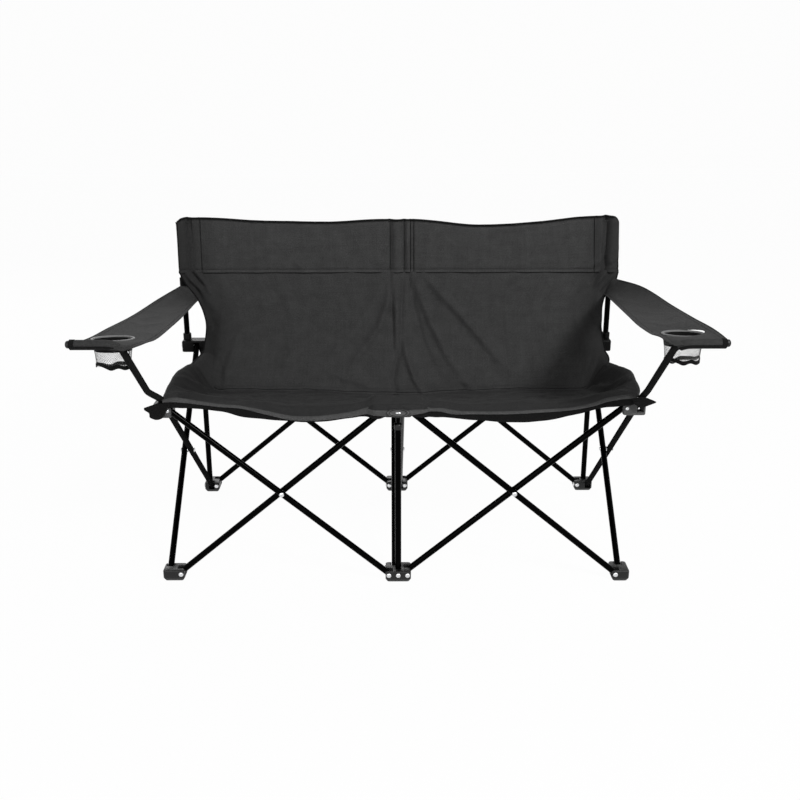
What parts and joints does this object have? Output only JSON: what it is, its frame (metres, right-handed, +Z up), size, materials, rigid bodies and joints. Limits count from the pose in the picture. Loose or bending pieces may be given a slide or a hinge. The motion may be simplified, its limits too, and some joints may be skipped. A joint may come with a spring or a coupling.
{
  "type": "folding camping loveseat",
  "caption": "Two-seat folding camping chair: crossed steel tubes in plastic feet and hubs, slung cloth seat and back, arms with net cup holders.",
  "frame": {"origin": "on the ground, under the middle of the loveseat's box", "axes": "+Z up, the sitter faces -Y, +X is to the right in the picture"},
  "size_m": [1.4276, 0.8746, 0.848],
  "materials": {
    "tube": "glossy black powder coat",
    "foot": "moulded black nylon, satin",
    "hub": "moulded grey nylon, satin",
    "rivet": "bright plated rivet",
    "cloth": "woven charcoal polyester",
    "arm_cloth": "woven charcoal polyester",
    "ring": "grey moulded ring",
    "net": "pale polyester mesh"
  },
  "bodies": {
    "foot_front_centre": {"foot_front_centre": "foot", "post_tube_front_centre": "tube", "post_collar_front_centre": "foot"},
    "hub_front_centre": {"hub_front_centre": "hub", "post_rod_front_centre": "tube"},
    "hub_front_left": {"hub_front_left": "hub"},
    "hub_front_right": {"hub_front_right": "hub"},
    "hub_rear_left": {"hub_rear_left": "hub", "post_rod_rear_left": "tube", "back_post_left": "tube", "arm_cloth_left": "arm_cloth"},
    "hub_rear_centre": {"hub_rear_centre": "hub", "post_rod_rear_centre": "tube", "back_post_centre": "tube", "back_cloth_band": "cloth"},
    "hub_rear_right": {"hub_rear_right": "hub", "post_rod_rear_right": "tube", "back_post_right": "tube", "arm_cloth_right": "arm_cloth"},
    "foot_front_left": {"foot_front_left": "foot"},
    "foot_front_right": {"foot_front_right": "foot"},
    "foot_rear_left": {"foot_rear_left": "foot", "post_tube_rear_left": "tube", "post_collar_rear_left": "foot"},
    "foot_rear_centre": {"foot_rear_centre": "foot", "post_tube_rear_centre": "tube", "post_collar_rear_centre": "foot"},
    "foot_rear_right": {"foot_rear_right": "foot", "post_tube_rear_right": "tube", "post_collar_rear_right": "foot"},
    "front_left_fore": {"front_tube_left_fore": "tube", "rivet_front_left": "rivet"},
    "front_left_aft": {"front_tube_left_aft": "tube"},
    "front_right_fore": {"front_tube_right_fore": "tube", "rivet_front_right": "rivet"},
    "front_right_aft": {"front_tube_right_aft": "tube"},
    "rear_left_fore": {"rear_tube_left_fore": "tube", "rivet_rear_left": "rivet"},
    "rear_left_aft": {"rear_tube_left_aft": "tube"},
    "rear_right_fore": {"rear_tube_right_fore": "tube", "rivet_rear_right": "rivet"},
    "rear_right_aft": {"rear_tube_right_aft": "tube"},
    "side_left_low": {"side_tube_left_low": "tube", "rivet_side_left": "rivet"},
    "side_centre_low": {"side_tube_centre_low": "tube", "rivet_side_centre": "rivet"},
    "side_centre_high": {"side_tube_centre_high": "tube"},
    "side_right_low": {"side_tube_right_low": "tube", "rivet_side_right": "rivet"},
    "arm_tube_left": {"arm_tube_left": "tube", "arm_plug_left": "foot", "cup_ring_left": "ring", "cup_net_left": "net"},
    "arm_tube_right": {"arm_tube_right": "tube", "arm_plug_right": "foot", "cup_ring_right": "ring", "cup_net_right": "net"},
    "seat_front": {"seat_cloth_front": "cloth"},
    "seat_rear": {"seat_cloth_rear": "cloth"},
    "back_panel": {"back_cloth_panel": "cloth"}
  },
  "joints": [
    {"name": "frame_fold", "type": "hinge", "parent": "foot_front_centre", "child": "front_left_fore", "pos_m": [-0.024, -0.18017, 0.02], "axis": [0, 1, 0], "range_deg": [0, 44], "deforming": ["seat_cloth_front", "seat_cloth_rear", "back_cloth_panel", "back_cloth_band", "arm_cloth_left", "arm_cloth_right"]},
    {"name": "front_right_aft_foot", "type": "hinge", "parent": "foot_front_centre", "child": "front_right_aft", "pos_m": [0.024, -0.16217, 0.02], "axis": [0, 1, 0], "range_deg": [-44, 0]},
    {"name": "side_centre_low_foot", "type": "hinge", "parent": "foot_front_centre", "child": "side_centre_low", "pos_m": [-0.009, -0.14717, 0.02], "axis": [1, 0, 0], "range_deg": [0, 44]},
    {"name": "hub_front_left_pivot", "type": "hinge", "parent": "front_left_fore", "child": "hub_front_left", "pos_m": [-0.562, -0.18017, 0.472], "axis": [0, 1, 0], "range_deg": [-44, 0]},
    {"name": "hub_front_right_pivot", "type": "hinge", "parent": "front_right_aft", "child": "hub_front_right", "pos_m": [0.562, -0.16217, 0.472], "axis": [0, 1, 0], "range_deg": [0, 44]},
    {"name": "hub_rear_centre_pivot", "type": "hinge", "parent": "side_centre_low", "child": "hub_rear_centre", "pos_m": [-0.009, 0.39083, 0.472], "axis": [1, 0, 0], "range_deg": [-44, 0]},
    {"name": "front_left_crossing", "type": "hinge", "parent": "front_left_fore", "child": "front_left_aft", "pos_m": [-0.293, -0.17117, 0.246], "axis": [0, 1, 0], "range_deg": [-88, 0]},
    {"name": "front_right_crossing", "type": "hinge", "parent": "front_right_aft", "child": "front_right_fore", "pos_m": [0.293, -0.17117, 0.246], "axis": [0, 1, 0], "range_deg": [0, 88]},
    {"name": "side_centre_crossing", "type": "hinge", "parent": "side_centre_low", "child": "side_centre_high", "pos_m": [0, 0.12183, 0.246], "axis": [1, 0, 0], "range_deg": [-88, 0]},
    {"name": "foot_front_left_pivot", "type": "hinge", "parent": "front_left_aft", "child": "foot_front_left", "pos_m": [-0.562, -0.16217, 0.02], "axis": [0, 1, 0], "range_deg": [0, 44]},
    {"name": "foot_front_right_pivot", "type": "hinge", "parent": "front_right_fore", "child": "foot_front_right", "pos_m": [0.562, -0.18017, 0.02], "axis": [0, 1, 0], "range_deg": [-44, 0]},
    {"name": "foot_rear_centre_pivot", "type": "hinge", "parent": "side_centre_high", "child": "foot_rear_centre", "pos_m": [0.009, 0.39083, 0.02], "axis": [1, 0, 0], "range_deg": [0, 44]},
    {"name": "hub_front_centre_pivot", "type": "hinge", "parent": "front_left_aft", "child": "hub_front_centre", "pos_m": [-0.024, -0.16217, 0.472], "axis": [0, 1, 0], "range_deg": [0, 44]},
    {"name": "arm_tube_left_pivot", "type": "hinge", "parent": "hub_front_left", "child": "arm_tube_left", "pos_m": [-0.577, -0.14717, 0.472], "axis": [1, 0, 0], "range_deg": [-44, 0]},
    {"name": "side_left_crossing", "type": "hinge", "parent": "arm_tube_left", "child": "side_left_low", "pos_m": [-0.586, 0.12183, 0.246], "axis": [1, 0, 0], "range_deg": [0, 88]},
    {"name": "foot_rear_left_pivot", "type": "hinge", "parent": "arm_tube_left", "child": "foot_rear_left", "pos_m": [-0.577, 0.39083, 0.02], "axis": [1, 0, 0], "range_deg": [0, 44]},
    {"name": "hub_rear_left_pivot", "type": "hinge", "parent": "side_left_low", "child": "hub_rear_left", "pos_m": [-0.595, 0.39083, 0.472], "axis": [1, 0, 0], "range_deg": [-44, 0]},
    {"name": "arm_tube_right_pivot", "type": "hinge", "parent": "hub_front_right", "child": "arm_tube_right", "pos_m": [0.595, -0.14717, 0.472], "axis": [1, 0, 0], "range_deg": [-44, 0]},
    {"name": "side_right_crossing", "type": "hinge", "parent": "arm_tube_right", "child": "side_right_low", "pos_m": [0.586, 0.12183, 0.246], "axis": [1, 0, 0], "range_deg": [0, 88]},
    {"name": "foot_rear_right_pivot", "type": "hinge", "parent": "arm_tube_right", "child": "foot_rear_right", "pos_m": [0.595, 0.39083, 0.02], "axis": [1, 0, 0], "range_deg": [0, 44]},
    {"name": "hub_rear_right_pivot", "type": "hinge", "parent": "side_right_low", "child": "hub_rear_right", "pos_m": [0.577, 0.39083, 0.472], "axis": [1, 0, 0], "range_deg": [-44, 0]},
    {"name": "rear_left_fore_pivot", "type": "hinge", "parent": "hub_rear_left", "child": "rear_left_fore", "pos_m": [-0.562, 0.40583, 0.472], "axis": [0, 1, 0], "range_deg": [0, 44]},
    {"name": "rear_left_crossing", "type": "hinge", "parent": "rear_left_fore", "child": "rear_left_aft", "pos_m": [-0.293, 0.41483, 0.246], "axis": [0, 1, 0], "range_deg": [-88, 0]},
    {"name": "rear_right_aft_pivot", "type": "hinge", "parent": "hub_rear_right", "child": "rear_right_aft", "pos_m": [0.562, 0.42383, 0.472], "axis": [0, 1, 0], "range_deg": [-44, 0]},
    {"name": "rear_right_crossing", "type": "hinge", "parent": "rear_right_aft", "child": "rear_right_fore", "pos_m": [0.293, 0.41483, 0.246], "axis": [0, 1, 0], "range_deg": [0, 88]},
    {"name": "seat_front_edge", "type": "hinge", "parent": "hub_front_centre", "child": "seat_front", "pos_m": [0, -0.18317, 0.489], "axis": [1, 0, 0], "range_deg": [-55.37, 0]},
    {"name": "back_band_seam", "type": "hinge", "parent": "hub_rear_centre", "child": "back_panel", "pos_m": [0, 0.40533, 0.688], "axis": [1, 0, 0], "range_deg": [0, 31.2]},
    {"name": "seat_back_seam", "type": "hinge", "parent": "back_panel", "child": "seat_rear", "pos_m": [0, 0.22183, 0.385], "axis": [1, 0, 0], "range_deg": [0, 62.11]}
  ],
  "couplings": [
    {"joint": "front_right_aft_foot", "follows": "frame_fold", "ratio": -1},
    {"joint": "side_centre_low_foot", "follows": "frame_fold", "ratio": 1},
    {"joint": "hub_front_left_pivot", "follows": "frame_fold", "ratio": -1},
    {"joint": "hub_front_right_pivot", "follows": "frame_fold", "ratio": 1},
    {"joint": "hub_rear_centre_pivot", "follows": "frame_fold", "ratio": -1},
    {"joint": "front_left_crossing", "follows": "frame_fold", "ratio": -2},
    {"joint": "front_right_crossing", "follows": "frame_fold", "ratio": 2},
    {"joint": "side_centre_crossing", "follows": "frame_fold", "ratio": -2},
    {"joint": "foot_front_left_pivot", "follows": "frame_fold", "ratio": 1},
    {"joint": "foot_front_right_pivot", "follows": "frame_fold", "ratio": -1},
    {"joint": "foot_rear_centre_pivot", "follows": "frame_fold", "ratio": 1},
    {"joint": "hub_front_centre_pivot", "follows": "frame_fold", "ratio": 1},
    {"joint": "arm_tube_left_pivot", "follows": "frame_fold", "ratio": -1},
    {"joint": "side_left_crossing", "follows": "frame_fold", "ratio": 2},
    {"joint": "foot_rear_left_pivot", "follows": "frame_fold", "ratio": 1},
    {"joint": "hub_rear_left_pivot", "follows": "frame_fold", "ratio": -1},
    {"joint": "arm_tube_right_pivot", "follows": "frame_fold", "ratio": -1},
    {"joint": "side_right_crossing", "follows": "frame_fold", "ratio": 2},
    {"joint": "foot_rear_right_pivot", "follows": "frame_fold", "ratio": 1},
    {"joint": "hub_rear_right_pivot", "follows": "frame_fold", "ratio": -1},
    {"joint": "rear_left_fore_pivot", "follows": "frame_fold", "ratio": 1},
    {"joint": "rear_left_crossing", "follows": "frame_fold", "ratio": -2},
    {"joint": "rear_right_aft_pivot", "follows": "frame_fold", "ratio": -1},
    {"joint": "rear_right_crossing", "follows": "frame_fold", "ratio": 2},
    {"joint": "seat_front_edge", "follows": "frame_fold", "ratio": -1.2584},
    {"joint": "back_band_seam", "follows": "frame_fold", "ratio": 0.70908},
    {"joint": "seat_back_seam", "follows": "frame_fold", "ratio": 1.4114}
  ]
}
